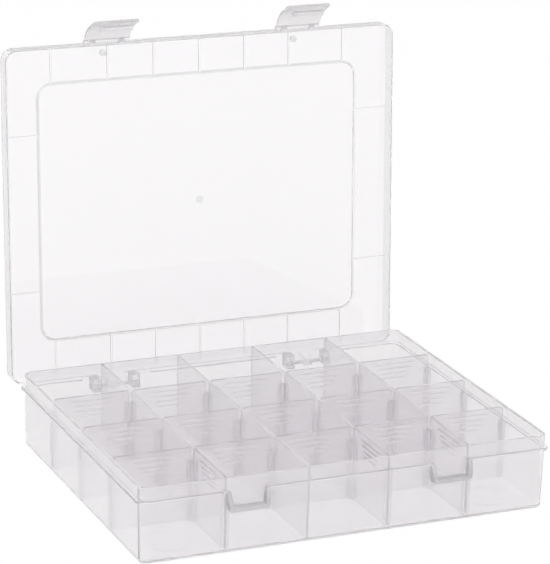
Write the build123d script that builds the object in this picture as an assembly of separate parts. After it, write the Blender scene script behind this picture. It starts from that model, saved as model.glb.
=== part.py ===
"""Clear plastic bead sorting box: compartment tray, hinged lid, two latches, lift-out dividers.

Frame: X runs across the width, Y from front (-) to back (+), Z up from the table.
The origin is on the table under the middle of the tray. Sizes are in millimetres.
The pieces are exported in the pose of the photograph: lid open, latches hanging half open.
"""
from build123d import *
import os

os.makedirs("parts", exist_ok=True)

# compartments
columns = 5
rows = 4
cell_width = 54.0       # clear width of one compartment
cell_depth = 54.5
wall = 1.5              # fixed walls between the columns
outer_wall = 2.0
tray_width = columns * cell_width + (columns - 1) * wall + 2 * outer_wall
tray_depth = rows * cell_depth + (rows - 1) * wall + 2 * outer_wall
cell_corner = 4.5       # plan radius inside the outer corners

# tray heights
floor_thickness = 1.8
rim_height = 50.5
flange_top = 42.0
flange_thickness = 2.2
flange_overhang = 2.2
flange_round = 1.0      # on the flange's upper and lower edge
draft = 0.8             # how far the outer wall leans in at the bottom
bottom_round = 2.2
floor_round = 1.4
rim_round = 0.5

# ring grooves in the underside of the corner compartments
ring_radius = 16.0
ring_width = 1.6
ring_depth = 0.35

# how far the features of one moulding run into the wall that carries them,
# and how far a cut runs past the face that it opens
bite = 0.4
past = 1.0

# dividers and the guides that hold them
divider_thickness = 1.5
divider_end_gap = 1.2   # from a divider's end to the wall beside it
divider_gap = 0.3       # to the sides of the slot, the floor and the end of the wall
divider_corner = 1.0
divider_foot_chamfer = 1.8
grip_ribs = ((4.0, 28.0), (7.4, 24.0), (10.8, 20.0), (14.2, 16.0))  # depth below top, length
grip_rib_height = 0.5
grip_rib_width = 0.9
guide_thickness = 1.2
guide_depth = 3.2       # out from a column wall
outer_guide_depth = 3.8  # out from an outer wall
guide_top = 41.7
cheek_reach = 3.0       # slot at the end of a wall that stops short of the front

# lid
lid_clearance = 0.8     # collar to skirt
skirt_thickness = 1.2
skirt_bottom = 42.6
plate_thickness = 1.2
panel_underside = 50.8
panel_step = 1.2        # the panel lies this much below the lid's border
panel_width = 236.0
panel_depth = 181.0
panel_corner = 12.0
panel_slope = 1.3       # how far the step around the panel leans in
lid_round = 1.4
border_rib_width = 1.2
border_rib_x = (0.0, 33.3, 66.5, 107.0)
border_rib_y = 54.3
boss_radius = 2.3
boss_bore = 1.1         # radius of the blind hole in the boss
boss_bore_depth = 0.8
boss_inset = 7.8        # from the lid's outer front edge
gate_radius = 2.5
gate_height = 0.3
open_angle = 93.2

# hinges at the back
hinge_x = 72.0          # middle of each hinge, left and right
hinge_out = 5.75        # the axis lies behind the tray's back wall
hinge_z = 32.6
ear_inner = 11.4        # from the middle of the hinge to an ear
ear_width = 5.5
ear_back = 3.5          # material behind the axis
ear_top = 39.5
ear_bottom = 30.0
ear_round = 0.8         # on the two edges at the back of an ear
arm_width = 4.2         # the knuckle in the middle of each hinge
arm_gap = 0.35          # from the lid's web to the ears beside it
knuckle_radius = 3.2
arm_top = 48.0
heel_gap = 0.15         # the heel stops the open lid against the tray's back wall
heel_half_width = 1.3
arm_point = 0.5         # how far the arm's profile dips under the axis
hinge_pin_radius = 1.6
hinge_pin_clearance = 0.08
hinge_notch = 25.0      # half width of the gap in the flange

# latches at the front and their catches on the tray
latch_x = 69.8
latch_width = 32.0
latch_thickness = 1.7
latch_axis_out = 2.0    # in front of the skirt
latch_axis_z = 44.3
barrel_radius = 1.7
latch_pin_radius = 1.0
latch_pin_clearance = 0.08
latch_pin_inset = 1.0   # from the latch's ends
latch_corner = 2.5
lug_x = 10.5
lug_width = 4.0
lug_radius = 1.7
lug_gap = 0.3
# outward and downward distances of the latch's middle surface from its axis
latch_curve = ((0.5, 1.0), (2.0, 4.5), (2.95, 9.0), (3.0, 14.0), (2.4, 18.5), (1.3, 23.5), (0.5, 27.2))
ridge_left = 6.6        # from the latch's middle to the ends of the ridge
ridge_right = 14.0
ridge_top = 15.3
ridge_height = 4.0
ridge_reach = 2.6
ridge_slant = 0.4
ridge_edge = 1.0
ridge_stop_width = 1.8  # short stop beside the ridge's left end
ridge_stop_gap = 0.8
ridge_stop_drop = 1.4   # how much lower than the ridge it reaches
latch_rest = (36.0, 40.0)   # how far the left and the right one have swung open
catch_width = 29.0
catch_taper = 1.3       # each side of the catch leans in by this towards its bottom
catch_bar = 2.4
catch_leg = 2.4
catch_bottom = 29.5
catch_reach = 5.4
catch_slope_end = 36.0
catch_corner = 1.8
catch_seat = 0.8        # the flange runs this far into the catch's legs

# positions that follow from the sizes above
floor_top = floor_thickness
slot = divider_thickness + 2 * divider_gap
divider_length = cell_width - 2 * divider_end_gap
lid_top = panel_underside + panel_step + plate_thickness
hinge_y = tray_depth / 2 + hinge_out
heel_reach = hinge_out - heel_gap
overhang = lid_clearance + skirt_thickness
lid_width = tray_width + 2 * overhang
lid_depth = tray_depth + 2 * overhang
front = -tray_depth / 2
latch_axis_y = -lid_depth / 2 - latch_axis_out
wall_x = [(k - (columns - 2) / 2) * (cell_width + wall) for k in range(columns - 1)]
boundary_y = [(j - (rows - 2) / 2) * (cell_depth + wall) for j in range(rows - 1)]
short_wall_end = boundary_y[0] - slot / 2 - guide_thickness
front_divider_length = short_wall_end - (front + outer_wall) - draft - 2 * divider_gap
whole_wall = 1          # this column wall reaches the front, the others stop one row short


def block(x0, x1, y0, y1, z0, z1):
    """A plain box between two corners."""
    return Pos((x0 + x1) / 2, (y0 + y1) / 2, (z0 + z1) / 2) * Box(abs(x1 - x0), abs(y1 - y0), abs(z1 - z0))


def rounded_plate(width, depth, radius, z0, z1):
    """A flat plate with rounded corners in plan."""
    return extrude(Pos(0, 0, z0) * RectangleRounded(width, depth, radius), z1 - z0)


def sloped_block(width, depth, radius, z_wide, inset, z_narrow):
    """A block with rounded corners that narrows by an inset on every side."""
    wide = Pos(0, 0, z_wide) * RectangleRounded(width, depth, radius)
    narrow = Pos(0, 0, z_narrow) * RectangleRounded(width - 2 * inset, depth - 2 * inset, radius - inset)
    return loft([narrow, wide])


def side_profile(points, x0, x1):
    """A prism along X from (y, z) points."""
    face = Plane.YZ.offset(x0) * Polygon(*points, align=None)
    return extrude(face, x1 - x0, dir=(1, 0, 0))


def front_profile(points, y0, y1):
    """A prism along Y from (x, z) points."""
    face = Plane.XZ.offset(-y0) * Polygon(*points, align=None)
    return extrude(face, y1 - y0, dir=(0, 1, 0))


def rod(radius, y, z, x0, x1):
    """A round bar along X."""
    return Pos((x0 + x1) / 2, y, z) * Rot(0, 90, 0) * Cylinder(radius, abs(x1 - x0))


def tray_shell():
    """Outer wall, collar and floor, hollow inside."""
    corner = cell_corner + outer_wall
    body = sloped_block(tray_width, tray_depth, corner, flange_top, draft, 0)
    body = fillet(body.faces().sort_by(Axis.Z)[0].edges(), bottom_round)
    collar = rounded_plate(tray_width, tray_depth, corner, flange_top, rim_height)
    inner_width = tray_width - 2 * outer_wall
    inner_depth = tray_depth - 2 * outer_wall
    hollow = sloped_block(inner_width, inner_depth, cell_corner, flange_top, draft, floor_top)
    hollow = fillet(hollow.faces().sort_by(Axis.Z)[0].edges(), floor_round)
    throat = rounded_plate(inner_width, inner_depth, cell_corner, flange_top, rim_height)
    shell = body + collar - hollow - throat
    return fillet(shell.faces().sort_by(Axis.Z)[-1].edges(), rim_round)


def tray_flange():
    """Ledge that the lid closes down to, with gaps for the hinges and the catches."""
    low = flange_top - flange_thickness
    corner = cell_corner + outer_wall
    grow = 2 * flange_overhang
    ledge = rounded_plate(tray_width + grow, tray_depth + grow, corner + flange_overhang, low, flange_top)
    by_height = ledge.edges().group_by(Axis.Z)
    ledge = fillet(by_height[0] + by_height[-1], flange_round)
    inside = rounded_plate(tray_width - 2 * bite, tray_depth - 2 * bite, corner - bite, low - past, rim_height)
    ring = ledge - inside
    top = flange_top + past
    for side in (-1, 1):
        hinge = side * hinge_x
        catch = side * latch_x
        gap = catch_width / 2 - catch_seat
        back = tray_depth / 2
        ring -= block(hinge - hinge_notch, hinge + hinge_notch, back, back + 2 * flange_overhang,
                      low - past, top)
        ring -= block(catch - gap, catch + gap, front - 2 * flange_overhang, front, low - past, top)
    return ring


def catch(middle):
    """U-shaped lip that a latch hooks under."""
    half = catch_width / 2
    foot = half - catch_taper
    root = front + outer_wall / 2
    nose = front - catch_reach
    outline = front_profile([(middle - half, flange_top), (middle - foot, catch_bottom),
                             (middle + foot, catch_bottom), (middle + half, flange_top)], nose, root)
    outline = fillet(outline.edges().filter_by(Axis.Y).group_by(Axis.Z)[0], catch_corner)
    slope = side_profile([(nose - past, catch_slope_end), (nose, catch_slope_end),
                          (front - flange_overhang, flange_top), (front - flange_overhang, flange_top + past),
                          (nose - past, flange_top + past)], middle - half - past, middle + half + past)
    inside = front_profile([(middle - half + catch_leg, flange_top + past),
                            (middle - foot + catch_leg, catch_bottom + catch_bar),
                            (middle + foot - catch_leg, catch_bottom + catch_bar),
                            (middle + half - catch_leg, flange_top + past)], nose - past, front)
    return outline - slope - inside


def hinge_ear(x0):
    """Bracket on the tray that carries one end of the lid's hinge rod."""
    root = tray_depth / 2 - outer_wall / 2
    ear = block(x0, x0 + ear_width, root, hinge_y + ear_back, ear_bottom, ear_top)
    ear = fillet(ear.edges().filter_by(Axis.X).group_by(Axis.Y)[-1], ear_round)
    hole = rod(hinge_pin_radius + hinge_pin_clearance, hinge_y, hinge_z, x0 - past, x0 + ear_width + past)
    return ear - hole


def guides_along_y(x, direction, depth, y):
    """Two upright ribs that hold the end of a divider lying across the box."""
    ribs = []
    for sign in (-1, 1):
        near = y + sign * slot / 2
        far = near + sign * guide_thickness
        ribs.append(block(x - direction * bite, x + direction * depth, near, far, floor_top - bite, guide_top))
    return ribs


def column_wall(index):
    """Fixed wall between two columns with its divider guides."""
    x = wall_x[index]
    low = floor_top - bite
    back = tray_depth / 2 - outer_wall + bite
    end = front + outer_wall - bite if index == whole_wall else short_wall_end
    pieces = []
    for y in boundary_y:
        for sign in (-1, 1):
            pieces += guides_along_y(x + sign * wall / 2, sign, guide_depth, y)
    if index != whole_wall:
        # slot for the front divider, at the wall's end and at the front wall
        for sign in (-1, 1):
            near = x + sign * slot / 2
            far = near + sign * guide_thickness
            pieces.append(block(near, far, end - cheek_reach, end + bite, low, guide_top))
            pieces.append(block(near, far, front + outer_wall - bite, front + outer_wall + outer_guide_depth,
                                low, guide_top))
    return block(x - wall / 2, x + wall / 2, end, back, low, rim_height).fuse(*pieces)


def outer_guides():
    """Divider guides on the left and the right wall."""
    edge = tray_width / 2 - outer_wall
    ribs = []
    for y in boundary_y:
        ribs += guides_along_y(-edge, 1, outer_guide_depth, y)
        ribs += guides_along_y(edge, -1, outer_guide_depth, y)
    return ribs


def ring_grooves():
    """Four shallow rings sunk in the flat underside."""
    x = tray_width / 2 - outer_wall - cell_width / 2
    y = tray_depth / 2 - outer_wall - cell_depth / 2
    grooves = []
    for sx in (-1, 1):
        for sy in (-1, 1):
            ring = Cylinder(ring_radius, 2 * ring_depth) - Cylinder(ring_radius - ring_width, 2 * ring_depth)
            grooves.append(Pos(sx * x, sy * y, 0) * ring)
    return grooves


def tray():
    """The whole moulded tray."""
    extras = outer_guides()
    for index in range(columns - 1):
        extras.append(column_wall(index))
    for side in (-1, 1):
        extras.append(catch(side * latch_x))
        extras.append(hinge_ear(side * hinge_x - ear_inner - ear_width))
        extras.append(hinge_ear(side * hinge_x + ear_inner))
    return tray_shell().fuse(tray_flange(), *extras).cut(*ring_grooves())


def lid_web(radius, x0, x1):
    """Web from the lid's back skirt down to the hinge axis, rounded around it."""
    outer = lid_depth / 2
    web = side_profile([(outer - skirt_thickness, skirt_bottom), (hinge_y - radius, hinge_z),
                        (hinge_y, hinge_z - arm_point), (hinge_y + radius, hinge_z), (outer, arm_top),
                        (outer - bite, arm_top), (outer - bite, skirt_bottom)], x0, x1)
    return web + rod(radius, hinge_y, hinge_z, x0, x1)


def lid_hinge(middle):
    """The web, knuckle and heel of one hinge and the rod that turns in the tray's ears."""
    side = ear_inner - arm_gap
    half = arm_width / 2
    end = ear_inner + ear_width
    knuckle = lid_web(knuckle_radius, middle - half, middle + half)
    heel = block(middle - half, middle + half, hinge_y - heel_half_width, hinge_y + heel_half_width,
                 hinge_z - heel_reach, hinge_z)
    parts = lid_web(hinge_pin_radius, middle - side, middle + side) + knuckle + heel
    return parts + rod(hinge_pin_radius, hinge_y, hinge_z, middle - end, middle + end)


def latch_lugs(middle):
    """Two lugs on the front skirt that carry a latch."""
    result = []
    root = -lid_depth / 2 + skirt_thickness / 2
    for sign in (-1, 1):
        x0 = middle + sign * lug_x - lug_width / 2
        x1 = x0 + lug_width
        lug = block(x0, x1, latch_axis_y, root, latch_axis_z - lug_radius, latch_axis_z + lug_radius)
        lug += rod(lug_radius, latch_axis_y, latch_axis_z, x0, x1)
        result.append(lug - rod(latch_pin_radius + latch_pin_clearance, latch_axis_y, latch_axis_z,
                                x0 - past, x1 + past))
    return result


def lid_closed():
    """The lid lying on the tray."""
    corner = cell_corner + outer_wall + overhang
    shell = rounded_plate(lid_width, lid_depth, corner, skirt_bottom, lid_top)
    shell = fillet(shell.faces().sort_by(Axis.Z)[-1].edges(), lid_round)
    shrink = 2 * skirt_thickness
    border_underside = lid_top - plate_thickness
    shell -= rounded_plate(lid_width - shrink, lid_depth - shrink, corner - skirt_thickness,
                           skirt_bottom - past, border_underside)
    # the middle panel is set down towards the compartments
    shell += sloped_block(panel_width, panel_depth, panel_corner, border_underside + bite, panel_slope,
                          panel_underside)
    shell -= sloped_block(panel_width - 2 * plate_thickness, panel_depth - 2 * plate_thickness,
                          panel_corner - plate_thickness, lid_top, panel_slope, panel_underside + plate_thickness)
    pieces = []
    rib_low = panel_underside
    rib_high = border_underside + bite
    half = border_rib_width / 2
    root = panel_slope + bite
    for size in border_rib_x:
        for x in {-size, size}:
            for sign in (-1, 1):
                pieces.append(block(x - half, x + half, sign * (panel_depth / 2 - root),
                                    sign * (lid_depth / 2 - skirt_thickness + bite), rib_low, rib_high))
    for y in (-border_rib_y, border_rib_y):
        for sign in (-1, 1):
            pieces.append(block(sign * (panel_width / 2 - root), sign * (lid_width / 2 - skirt_thickness + bite),
                                y - half, y + half, rib_low, rib_high))
    for side in (-1, 1):
        boss = Cylinder(boss_radius, rib_high - rib_low)
        pieces.append(Pos(side * latch_x, -lid_depth / 2 + boss_inset, (rib_low + rib_high) / 2) * boss)
        pieces += latch_lugs(side * latch_x)
        pieces.append(lid_hinge(side * hinge_x))
    gate_z = panel_underside + plate_thickness
    pieces.append(Pos(0, 0, gate_z) * Cylinder(gate_radius, 2 * gate_height))
    bores = [Pos(side * latch_x, -lid_depth / 2 + boss_inset, rib_low) * Cylinder(boss_bore, 2 * boss_bore_depth)
             for side in (-1, 1)]
    return shell.fuse(*pieces).cut(*bores)


def latch_closed():
    """One latch hanging shut, as if its middle were at X = 0."""
    half = latch_width / 2
    thick = latch_thickness / 2
    outside = Spline(*[(latch_axis_y - out - thick, latch_axis_z - down) for out, down in latch_curve])
    inside = Spline(*[(latch_axis_y - out + thick, latch_axis_z - down) for out, down in latch_curve])
    lower = Line(outside @ 1, inside @ 1)
    upper = Line(inside @ 0, outside @ 0)
    face = Plane.YZ.offset(-half) * make_face([outside, lower, inside, upper])
    body = extrude(face, latch_width, dir=(1, 0, 0))
    tip = body.edges().filter_by(Axis.Y, tolerance=30).group_by(Axis.Z)[0]
    body = fillet(tip, latch_corner)
    body += rod(barrel_radius, latch_axis_y, latch_axis_z, -half, half)
    for sign in (-1, 1):
        reach = lug_width / 2 + lug_gap
        body -= rod(lug_radius + lug_gap, latch_axis_y, latch_axis_z, sign * lug_x - reach, sign * lug_x + reach)
    pin_end = half - latch_pin_inset
    body += rod(latch_pin_radius, latch_axis_y, latch_axis_z, -pin_end, pin_end)
    z_top = latch_axis_z - ridge_top
    base = latch_axis_y - latch_curve[4][0]
    nose = base + thick + ridge_reach
    z_nose = z_top - ridge_slant
    ridge = side_profile([(base, z_top), (nose, z_nose), (nose, z_nose - ridge_edge), (base, z_top - ridge_height)],
                         -ridge_left, ridge_right)
    stop_end = -ridge_left - ridge_stop_gap
    stop = side_profile([(base, z_top), (nose, z_nose), (nose, z_nose - ridge_edge - ridge_stop_drop),
                         (base, z_top - ridge_height - ridge_stop_drop)], stop_end - ridge_stop_width, stop_end)
    return body + ridge + stop


def divider(length):
    """One divider standing across the box, its middle over the origin."""
    top = rim_height
    bottom = floor_top + divider_gap
    height = top - bottom
    plate = Pos(0, 0, bottom + height / 2) * Box(length, divider_thickness, height)
    uprights = plate.edges().filter_by(Axis.Y)
    plate = fillet(uprights.group_by(Axis.Z)[-1], divider_corner)
    plate = chamfer(plate.edges().filter_by(Axis.Y).group_by(Axis.Z)[0], divider_foot_chamfer)
    ribs = []
    reach = divider_thickness / 2 + grip_rib_height
    for depth, rib_length in grip_ribs:
        z = top - depth
        half = rib_length / 2
        ribs.append(block(-half, half, -reach, reach, z - grip_rib_width / 2, z + grip_rib_width / 2))
    return plate.fuse(*ribs)


hinge_axis = Axis((0, hinge_y, hinge_z), (1, 0, 0))
latch_axis = Axis((0, latch_axis_y, latch_axis_z), (1, 0, 0))

export_step(tray(), "parts/tray.step")
export_step(lid_closed().rotate(hinge_axis, -open_angle), "parts/lid.step")

shut_latch = latch_closed()
for name, side, angle in (("latch_left", -1, latch_rest[0]), ("latch_right", 1, latch_rest[1])):
    swung = shut_latch.rotate(latch_axis, -angle)
    placed = Pos(side * latch_x, 0, 0) * swung
    export_step(placed.rotate(hinge_axis, -open_angle), f"parts/{name}.step")

one_divider = divider(divider_length)
column_x = [(k - (columns - 1) / 2) * (cell_width + wall) for k in range(columns)]
column_x[0] += draft / 2
column_x[-1] -= draft / 2
for c, x in enumerate(column_x):
    for r, y in enumerate(boundary_y):
        export_step(Pos(x, y, 0) * one_divider, f"parts/divider_col{c + 1}_row{r + 1}.step")

front_divider = Rot(0, 0, 90) * divider(front_divider_length)
front_middle = short_wall_end - divider_gap - front_divider_length / 2
for k, x in enumerate(wall_x):
    if k != whole_wall:
        export_step(Pos(x, front_middle, 0) * front_divider, f"parts/divider_front_wall{k + 1}.step")
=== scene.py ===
"""A clear plastic bead sorting box with its lid open, set up for a studio render."""
import math
import bmesh
import bpy
from mathutils import Matrix, Vector


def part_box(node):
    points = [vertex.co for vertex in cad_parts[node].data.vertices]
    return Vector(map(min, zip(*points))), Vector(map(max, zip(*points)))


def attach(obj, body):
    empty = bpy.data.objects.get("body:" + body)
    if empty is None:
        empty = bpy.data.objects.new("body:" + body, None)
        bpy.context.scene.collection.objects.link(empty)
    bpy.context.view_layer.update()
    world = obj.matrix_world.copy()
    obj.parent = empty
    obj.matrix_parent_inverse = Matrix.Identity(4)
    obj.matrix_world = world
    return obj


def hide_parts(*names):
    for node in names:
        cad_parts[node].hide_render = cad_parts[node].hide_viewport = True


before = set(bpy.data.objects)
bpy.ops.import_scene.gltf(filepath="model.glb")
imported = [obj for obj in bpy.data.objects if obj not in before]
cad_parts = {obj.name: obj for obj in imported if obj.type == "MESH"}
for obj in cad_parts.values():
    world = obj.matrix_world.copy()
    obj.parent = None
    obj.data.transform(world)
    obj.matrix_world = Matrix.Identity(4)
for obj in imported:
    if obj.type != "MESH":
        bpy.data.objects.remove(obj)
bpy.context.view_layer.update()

# Tray
# One piece of clear polystyrene, injection moulded: floor, walls, collar, flange,
# catches and hinge ears come out of a single mould, with every edge slightly eased.
# The catches have a grained face and the ears a satin one; both are also tinted darker than the tray as
# painted shade.
edge_softness = 0.00022         # how far the mould eases each edge
merge_distance = 0.000002
flat_angle = math.radians(0.6)
edge_angle = math.radians(35)
smooth_angle = math.radians(28)
light_bending = 1.49
flow_scale = 38                 # faint flow marks, which vary the roughness
flow_detail = 3
wave_scale = 60                 # the slightly wavy surface
wave_detail = 1
wave_strength = 0.35
shadow_tint = (0.94, 0.945, 0.95, 1)
depth_tint = (0.88, 0.865, 0.88, 1)
catch_middle = 0.0698           # sideways from the middle of the tray, as hinge_middle is
catch_half = 0.0148
catch_reach = 0.0052            # how far a catch stands out from the front
catch_top = 0.0420
hinge_middle = 0.0720
hinge_half = 0.0172
ear_reach = 0.0088              # how far the ears stand out at the back


def moulded_copy(name, node_name, softness):
    """A closed copy of a CAD piece with its edges rounded as a mould leaves them."""
    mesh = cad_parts[node_name].data.copy()
    mesh.name = name
    shape = bmesh.new()
    shape.from_mesh(mesh)
    bmesh.ops.remove_doubles(shape, verts=shape.verts, dist=merge_distance)
    bmesh.ops.dissolve_limit(shape, angle_limit=flat_angle, verts=shape.verts, edges=shape.edges)
    edges = []
    for edge in shape.edges:
        if len(edge.link_faces) == 2 and edge.calc_face_angle(0) > edge_angle:
            edges.append(edge)
    bmesh.ops.bevel(shape, geom=edges, offset=softness, segments=2, profile=0.5,
                    affect="EDGES", clamp_overlap=True)
    shape.to_mesh(mesh)
    shape.free()
    mesh.materials.clear()
    piece = bpy.data.objects.new(name, mesh)
    bpy.context.scene.collection.objects.link(piece)
    smooth_faces(piece)
    piece.data.name = name
    return piece


def smooth_faces(piece):
    """Smooth shading over the rounds; large flat faces keep their own direction."""
    for face in piece.data.polygons:
        face.use_smooth = True
    piece.data.set_sharp_from_angle(angle=smooth_angle)
    steady = piece.modifiers.new("steady", "WEIGHTED_NORMAL")
    steady.mode = "FACE_AREA"
    steady.weight = 100
    steady.keep_sharp = True
    ready = piece.evaluated_get(bpy.context.evaluated_depsgraph_get())
    finished = bpy.data.meshes.new_from_object(ready)
    piece.modifiers.remove(steady)
    piece.data = finished


def clear_plastic(name, tint, clarity, roughness, ripple=0.00003, density=0):
    """Moulded transparent plastic with faint flow marks; a density makes it darker where thicker."""
    mat = bpy.data.materials.new(name)
    mat.use_nodes = True
    tree = mat.node_tree
    tree.nodes.clear()
    out = tree.nodes.new("ShaderNodeOutputMaterial")
    body = tree.nodes.new("ShaderNodeBsdfPrincipled")
    body.inputs["Base Color"].default_value = (*tint, 1)
    body.inputs["Transmission Weight"].default_value = clarity
    body.inputs["IOR"].default_value = light_bending
    coords = tree.nodes.new("ShaderNodeTexCoord")
    flow = tree.nodes.new("ShaderNodeTexNoise")
    flow.inputs["Scale"].default_value = flow_scale
    flow.inputs["Detail"].default_value = flow_detail
    spread = tree.nodes.new("ShaderNodeMapRange")
    spread.inputs["To Min"].default_value = roughness[0]
    spread.inputs["To Max"].default_value = roughness[1]
    wave = tree.nodes.new("ShaderNodeTexNoise")
    wave.inputs["Scale"].default_value = wave_scale
    wave.inputs["Detail"].default_value = wave_detail
    bump = tree.nodes.new("ShaderNodeBump")
    bump.inputs["Strength"].default_value = wave_strength
    bump.inputs["Distance"].default_value = ripple
    tree.links.new(coords.outputs["Object"], flow.inputs["Vector"])
    tree.links.new(coords.outputs["Object"], wave.inputs["Vector"])
    tree.links.new(flow.outputs["Fac"], spread.inputs["Value"])
    tree.links.new(spread.outputs["Result"], body.inputs["Roughness"])
    tree.links.new(wave.outputs["Fac"], bump.inputs["Height"])
    tree.links.new(bump.outputs["Normal"], body.inputs["Normal"])
    clear = tree.nodes.new("ShaderNodeBsdfTransparent")
    clear.inputs["Color"].default_value = shadow_tint
    rays = tree.nodes.new("ShaderNodeLightPath")
    mix = tree.nodes.new("ShaderNodeMixShader")
    tree.links.new(rays.outputs["Is Shadow Ray"], mix.inputs[0])
    tree.links.new(body.outputs[0], mix.inputs[1])
    tree.links.new(clear.outputs[0], mix.inputs[2])
    tree.links.new(mix.outputs[0], out.inputs["Surface"])
    if density > 0:
        inside = tree.nodes.new("ShaderNodeVolumeAbsorption")
        inside.inputs["Color"].default_value = depth_tint
        inside.inputs["Density"].default_value = density
        tree.links.new(inside.outputs[0], out.inputs["Volume"])
    return mat


tray_plastic = clear_plastic("tray_plastic", tint=(0.897, 0.884, 0.894), clarity=0.81, roughness=(0.04, 0.10))
# Catch plastic: the grain is real, and its darker tint is painted shade.
grained_painted_shade_plastic = clear_plastic("grained_painted_shade_plastic", tint=(0.66, 0.65, 0.66), clarity=0.72,
                                roughness=(0.25, 0.40), ripple=0.00006)
# Ear plastic: the satin finish is real, and its darker tint is painted shade.
satin_painted_shade_plastic = clear_plastic("satin_painted_shade_plastic", tint=(0.76, 0.75, 0.76), clarity=0.78,
                              roughness=(0.20, 0.35), ripple=0.00004)
tray = moulded_copy("tray_moulding", "tray", edge_softness)
for material in (tray_plastic, grained_painted_shade_plastic, satin_painted_shade_plastic):
    tray.data.materials.append(material)
low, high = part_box("tray")
for face in tray.data.polygons:
    x, y, z = face.center
    on_catch = y < low[1] + catch_reach and z < catch_top and abs(abs(x) - catch_middle) < catch_half
    on_ear = y > high[1] - ear_reach and abs(abs(x) - hinge_middle) < hinge_half
    # Catch faces and ear faces get the darker plastics, which carry painted shade.
    if on_catch:
        face.material_index = 1
    if on_ear:
        face.material_index = 2
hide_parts("tray")
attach(tray, "tray")

# Lid
# A thinner moulding of the same clear plastic: a border with short ribs, a panel set down
# inside it, a skirt, and the hinge rods. The skirt and the step around the panel are painted
# greyer as painted shade; the mould's gate mark and two bosses share the step's greyer,
# rougher plastic. Heights are with the lid open.
open_angle = math.radians(93.2)
lid_up = Vector((0, math.sin(open_angle), math.cos(open_angle)))
sloped_least = 0.55             # share of a face's direction that points out of the lid's top
sloped_most = 0.85
step_side = 0.1185              # the step around the panel lies within these
step_low = 0.0560
step_high = 0.2440
skirt_side = 0.1400             # the skirt lies outside these
skirt_front = 0.2642
gate_height = 0.1503
boss_middle = 0.0698
boss_height = 0.2577
mark_reach = 0.0045
mark_area = 0.00004             # faces of a mark are smaller than this
lid_plastic = clear_plastic("lid_plastic", tint=(0.942, 0.929, 0.940), clarity=0.84, roughness=(0.00, 0.04))
# A greyer copy of the lid plastic for the skirt: painted shade for its grazing view.
skirt_painted_shade_plastic = clear_plastic("skirt_painted_shade_plastic", tint=(0.87, 0.858, 0.868), clarity=0.80,
                              roughness=(0.04, 0.12), ripple=0.00004)
# The darkest plastic: painted shade on the step and the front of the skirt, and a rougher, greyer mark on the
# gate and bosses.
mark_and_painted_shade_plastic = clear_plastic("mark_and_painted_shade_plastic", tint=(0.77, 0.76, 0.77), clarity=0.76,
                             roughness=(0.15, 0.30), ripple=0.00004)
lid = moulded_copy("lid_moulding", "lid", edge_softness)
for material in (lid_plastic, skirt_painted_shade_plastic, mark_and_painted_shade_plastic):
    lid.data.materials.append(material)
for face in lid.data.polygons:
    x = face.center.x
    z = face.center.z
    # Faces are picked by the way they face, so that the sloped step is painted greyer as shade.
    share = abs(face.normal.dot(lid_up))
    is_sloped = sloped_least < share < sloped_most
    on_step = is_sloped and abs(x) < step_side and step_low < z < step_high
    # The side skirt faces take the greyer plastic as painted shade.
    if abs(x) > skirt_side:
        face.material_index = 1
    on_gate = abs(x) < mark_reach and abs(z - gate_height) < mark_reach
    on_boss = abs(abs(x) - boss_middle) < mark_reach and abs(z - boss_height) < mark_reach
    on_mark = (on_gate or on_boss) and face.area < mark_area
    # The step and the front of the skirt take the darkest plastic as painted shade; the gate mark and bosses
    # take it as marks.
    if on_step or on_mark or z > skirt_front:
        face.material_index = 2
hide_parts("lid")
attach(lid, "lid")

# Latches
# Two curved snap plates that turn on pins in the lid's front edge. They are moulded
# by themselves from a slightly milky grade, thicker than the walls.
latch_softness = 0.0003
latch_plastic = clear_plastic("latch_plastic", tint=(0.885, 0.872, 0.882), clarity=0.76,
                              roughness=(0.12, 0.25), density=8)
for side in ("left", "right"):
    latch = moulded_copy(f"latch_{side}_moulding", f"latch_{side}", latch_softness)
    latch.data.materials.append(latch_plastic)
    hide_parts(f"latch_{side}")
    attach(latch, f"latch_{side}")

# Dividers
# Eighteen loose plates of the same clear plastic, each pushed down between two pairs of
# guides. Four bars on both faces, shorter and shorter going down, give the fingers a grip.
divider_thickness = 0.0015
divider_corner = 0.0010
corner_steps = 6
divider_foot = 0.0018           # the cut-off corners at the foot
divider_softness = 0.00018
bar_count = 4
bar_first = 0.004               # below the top
bar_step = 0.0034
bar_longest = 0.028
bar_shorter = 0.004             # than the one above it
bar_radius = 0.00045
bar_pieces = 24                 # points along a bar
bar_sides = 12
bar_tip = 0.35                  # share of the radius that is left at the very tip
bar_taper = 14                  # how fast the tip grows to the full radius


def divider_plate(length, bottom, top):
    """The flat plate, standing across X over the origin."""
    half = length / 2
    outline = [(-half, bottom + divider_foot), (-half + divider_foot, bottom),
               (half - divider_foot, bottom), (half, bottom + divider_foot)]
    turns = [math.radians(90 * step / corner_steps) for step in range(corner_steps + 1)]
    for side, order in ((1, turns), (-1, turns[::-1])):
        for turn in order:
            x = half - divider_corner + divider_corner * math.cos(turn)
            z = top - divider_corner + divider_corner * math.sin(turn)
            outline.append((side * x, z))
    plate = bmesh.new()
    face = plate.faces.new([plate.verts.new((x, -divider_thickness / 2, z)) for x, z in outline])
    back = bmesh.ops.extrude_face_region(plate, geom=[face])
    moved = [part for part in back["geom"] if isinstance(part, bmesh.types.BMVert)]
    bmesh.ops.translate(plate, verts=moved, vec=(0, divider_thickness, 0))
    bmesh.ops.recalc_face_normals(plate, faces=plate.faces)
    rim = [edge for edge in plate.edges if edge.calc_face_angle(0) > edge_angle]
    bmesh.ops.bevel(plate, geom=rim, offset=divider_softness, segments=2, profile=0.5,
                    affect="EDGES", clamp_overlap=True)
    mesh = bpy.data.meshes.new("divider_plate")
    plate.to_mesh(mesh)
    plate.free()
    return mesh


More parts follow.
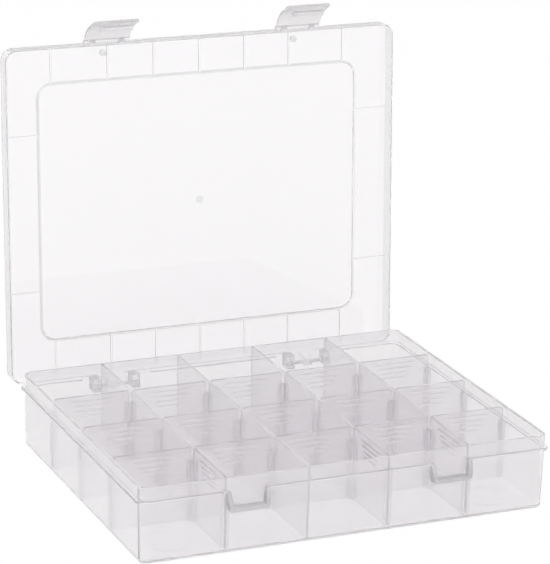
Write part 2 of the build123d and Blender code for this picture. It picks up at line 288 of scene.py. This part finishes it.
def grip_bar_tree(material):
    """Nodes that add the grip bars to both faces of a divider plate."""
    tree = bpy.data.node_groups.new("grip_bars", "GeometryNodeTree")
    sockets = tree.interface
    sockets.new_socket("Geometry", in_out="INPUT", socket_type="NodeSocketGeometry")
    sockets.new_socket("Bars", in_out="INPUT", socket_type="NodeSocketInt")
    for label in ("Top", "Step", "Longest", "Shorter", "Radius", "Face"):
        sockets.new_socket(label, in_out="INPUT", socket_type="NodeSocketFloat")
    sockets.new_socket("Geometry", in_out="OUTPUT", socket_type="NodeSocketGeometry")

    def node(kind, **settings):
        made = tree.nodes.new(kind)
        for key, value in settings.items():
            setattr(made, key, value)
        return made

    def maths(operation, a, b):
        made = node("ShaderNodeMath", operation=operation)
        for socket, value in zip(made.inputs, (a, b)):
            if isinstance(value, (int, float)):
                socket.default_value = value
            else:
                tree.links.new(value, socket)
        return made.outputs[0]

    given = node("NodeGroupInput").outputs
    index = node("GeometryNodeInputIndex").outputs[0]
    row = maths("FLOOR", maths("DIVIDE", index, 2), 0)
    side = maths("SUBTRACT", maths("MULTIPLY", maths("MODULO", index, 2), 2), 1)
    lower = maths("MULTIPLY", row, given["Step"])
    shorter = maths("MULTIPLY", row, given["Shorter"])
    place = node("ShaderNodeCombineXYZ")
    tree.links.new(maths("MULTIPLY", side, given["Face"]), place.inputs["Y"])
    tree.links.new(maths("SUBTRACT", given["Top"], lower), place.inputs["Z"])
    points = node("GeometryNodePoints")
    tree.links.new(maths("MULTIPLY", given["Bars"], 2), points.inputs["Count"])
    tree.links.new(place.outputs[0], points.inputs["Position"])
    length = node("ShaderNodeCombineXYZ")
    tree.links.new(maths("SUBTRACT", given["Longest"], shorter), length.inputs["X"])
    length.inputs["Y"].default_value = 1
    length.inputs["Z"].default_value = 1
    line = node("GeometryNodeCurvePrimitiveLine")
    line.inputs["Start"].default_value = (-0.5, 0, 0)
    line.inputs["End"].default_value = (0.5, 0, 0)
    finer = node("GeometryNodeResampleCurve")
    finer.inputs["Count"].default_value = bar_pieces
    copies = node("GeometryNodeInstanceOnPoints")
    loose = node("GeometryNodeRealizeInstances")
    along = node("GeometryNodeSplineParameter").outputs["Factor"]
    to_end = maths("MULTIPLY", maths("MINIMUM", along, maths("SUBTRACT", 1, along)), bar_taper)
    thin_ends = node("GeometryNodeSetCurveRadius")
    tree.links.new(maths("MINIMUM", maths("ADD", to_end, bar_tip), 1), thin_ends.inputs["Radius"])
    ring = node("GeometryNodeCurvePrimitiveCircle")
    ring.inputs["Resolution"].default_value = bar_sides
    tree.links.new(given["Radius"], ring.inputs["Radius"])
    bars = node("GeometryNodeCurveToMesh")
    bars.inputs["Fill Caps"].default_value = True
    tree.links.new(line.outputs[0], finer.inputs["Curve"])
    tree.links.new(points.outputs[0], copies.inputs["Points"])
    tree.links.new(finer.outputs[0], copies.inputs["Instance"])
    tree.links.new(length.outputs[0], copies.inputs["Scale"])
    tree.links.new(copies.outputs[0], loose.inputs[0])
    tree.links.new(loose.outputs[0], thin_ends.inputs["Curve"])
    tree.links.new(thin_ends.outputs[0], bars.inputs["Curve"])
    tree.links.new(ring.outputs[0], bars.inputs["Profile Curve"])
    joined = node("GeometryNodeMeshBoolean", operation="UNION", solver="EXACT")
    tree.links.new(given["Geometry"], joined.inputs["Mesh 2"])
    tree.links.new(bars.outputs[0], joined.inputs["Mesh 2"])
    whole = node("GeometryNodeRealizeInstances")
    painted = node("GeometryNodeSetMaterial")
    painted.inputs["Material"].default_value = material
    result = node("NodeGroupOutput")
    tree.links.new(joined.outputs[0], whole.inputs[0])
    tree.links.new(whole.outputs[0], painted.inputs[0])
    tree.links.new(painted.outputs[0], result.inputs[0])
    return tree


divider_plastic = clear_plastic("divider_plastic", tint=(0.915, 0.902, 0.912), clarity=0.85,
                                roughness=(0.00, 0.04), density=70)
low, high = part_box("divider_col3_row2")
pattern = bpy.data.objects.new("divider_pattern", divider_plate(high[0] - low[0], low[2], high[2]))
bpy.context.scene.collection.objects.link(pattern)
grip = pattern.modifiers.new("grip", "NODES")
grip.node_group = grip_bar_tree(divider_plastic)
sizes = {"Bars": bar_count, "Top": high[2] - bar_first, "Step": bar_step, "Longest": bar_longest,
         "Shorter": bar_shorter, "Radius": bar_radius, "Face": divider_thickness / 2}
for item in grip.node_group.interface.items_tree:
    if item.in_out == "INPUT" and item.name in sizes:
        grip[item.identifier] = sizes[item.name]
ready = pattern.evaluated_get(bpy.context.evaluated_depsgraph_get())
master = bpy.data.meshes.new_from_object(ready)
bpy.data.objects.remove(pattern)
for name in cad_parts:
    if name.startswith("divider"):
        low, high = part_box(name)
        middle = Vector(((low[0] + high[0]) / 2, (low[1] + high[1]) / 2, 0))
        turn = math.radians(90) if high[1] - low[1] > high[0] - low[0] else 0
        mesh = master.copy()
        mesh.transform(Matrix.Translation(middle) @ Matrix.Rotation(turn, 4, "Z"))
        divider = bpy.data.objects.new(f"{name}_plate", mesh)
        bpy.context.scene.collection.objects.link(divider)
        smooth_faces(divider)
        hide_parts(name)
        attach(divider, name)

# Table and backdrop
# A plain white sheet under and behind the box. It looks white to the camera and through
# the clear plastic, and it keeps the box's faint shadow.
table_size = 12
table_drop = 0.0004             # clear of the underside
table_colour = (0.9, 0.9, 0.9, 1)
white_share = 0.97              # the rest of what shows keeps the shadow
bpy.ops.mesh.primitive_plane_add(size=table_size, location=(0, 0, -table_drop))
table = bpy.context.object
table.name = "table"
paper = bpy.data.materials.new("white_paper")
paper.use_nodes = True
tree = paper.node_tree
tree.nodes.clear()
out = tree.nodes.new("ShaderNodeOutputMaterial")
matt = tree.nodes.new("ShaderNodeBsdfDiffuse")
matt.inputs["Color"].default_value = table_colour
glow = tree.nodes.new("ShaderNodeEmission")
rays = tree.nodes.new("ShaderNodeLightPath")
seen = tree.nodes.new("ShaderNodeMath")
seen.operation = "MAXIMUM"
seen_too = tree.nodes.new("ShaderNodeMath")
seen_too.operation = "MAXIMUM"
share = tree.nodes.new("ShaderNodeMath")
share.operation = "MULTIPLY"
share.inputs[1].default_value = white_share
mix = tree.nodes.new("ShaderNodeMixShader")
tree.links.new(rays.outputs["Is Camera Ray"], seen.inputs[0])
tree.links.new(rays.outputs["Is Transmission Ray"], seen.inputs[1])
tree.links.new(seen.outputs[0], seen_too.inputs[0])
tree.links.new(rays.outputs["Is Glossy Ray"], seen_too.inputs[1])
tree.links.new(seen_too.outputs[0], share.inputs[0])
tree.links.new(share.outputs[0], mix.inputs[0])
tree.links.new(matt.outputs[0], mix.inputs[1])
tree.links.new(glow.outputs[0], mix.inputs[2])
tree.links.new(mix.outputs[0], out.inputs["Surface"])
table.data.materials.append(paper)

# Studio
# A white room, darker overhead so that the clear walls show a grey tone, and two
# softboxes in front of the box, the stronger one on the left.
white = (1, 1, 1, 1)
overhead_grey = (0.82, 0.82, 0.82, 1)
grey_from = 0.50                # heights at which the grey begins and is full, 0 below and 1 above
grey_full = 0.95
softbox_target = Vector((0, 0.02, 0.1))
wall_crossings = 32             # light passes many clear walls before it is lost
wall_reflections = 16
world = bpy.data.worlds.new("studio")
bpy.context.scene.world = world
world.use_nodes = True
tree = world.node_tree
tree.nodes.clear()
out = tree.nodes.new("ShaderNodeOutputWorld")
room = tree.nodes.new("ShaderNodeBackground")
coords = tree.nodes.new("ShaderNodeTexCoord")
split = tree.nodes.new("ShaderNodeSeparateXYZ")
height = tree.nodes.new("ShaderNodeMapRange")
height.inputs["From Min"].default_value = -1
height.inputs["From Max"].default_value = 1
ramp = tree.nodes.new("ShaderNodeValToRGB")
ramp.color_ramp.elements[0].position = grey_from
ramp.color_ramp.elements[0].color = white
ramp.color_ramp.elements[1].position = grey_full
ramp.color_ramp.elements[1].color = overhead_grey
rays = tree.nodes.new("ShaderNodeLightPath")
shown = tree.nodes.new("ShaderNodeMix")
shown.data_type = "RGBA"
shown.inputs["B"].default_value = white
tree.links.new(coords.outputs["Generated"], split.inputs[0])
tree.links.new(split.outputs["Z"], height.inputs["Value"])
tree.links.new(height.outputs["Result"], ramp.inputs[0])
tree.links.new(ramp.outputs["Color"], shown.inputs["A"])
tree.links.new(rays.outputs["Is Camera Ray"], shown.inputs["Factor"])
tree.links.new(shown.outputs["Result"], room.inputs["Color"])
tree.links.new(room.outputs[0], out.inputs["Surface"])


def softbox(name, place, size, power):
    """A large area lamp aimed at the box."""
    lamp = bpy.data.lights.new(name, "AREA")
    lamp.shape = "RECTANGLE"
    lamp.size, lamp.size_y = size
    lamp.energy = power
    box = bpy.data.objects.new(name, lamp)
    box.location = place
    aim = softbox_target - Vector(place)
    box.rotation_euler = aim.to_track_quat("-Z", "Y").to_euler()
    bpy.context.scene.collection.objects.link(box)


softbox("key_softbox", place=(-1.3, -1.0, 1.6), size=(1.0, 1.0), power=12)
softbox("fill_softbox", place=(1.5, -0.8, 1.2), size=(0.8, 1.2), power=5)

scene = bpy.context.scene
scene.view_settings.view_transform = "Standard"
scene.cycles.max_bounces = wall_crossings
scene.cycles.transmission_bounces = wall_crossings
scene.cycles.glossy_bounces = wall_reflections
scene.cycles.transparent_max_bounces = wall_crossings

# Camera
# Where the photograph was taken from: in front, to the left and a little above, with a
# long lens.
camera_place = (-0.73609, -1.67145, 0.7155)
camera_turn = (72.3338, -1.3429, -23.1926)      # degrees about X, Y and Z
lens_length = 188.237
film_width = 36
farthest_seen = 20
lens = bpy.data.cameras.new("camera")
lens.lens = lens_length
lens.sensor_width = film_width
lens.clip_end = farthest_seen
camera = bpy.data.objects.new("camera", lens)
camera.location = camera_place
camera.rotation_euler = [math.radians(angle) for angle in camera_turn]
scene.collection.objects.link(camera)
scene.camera = camera
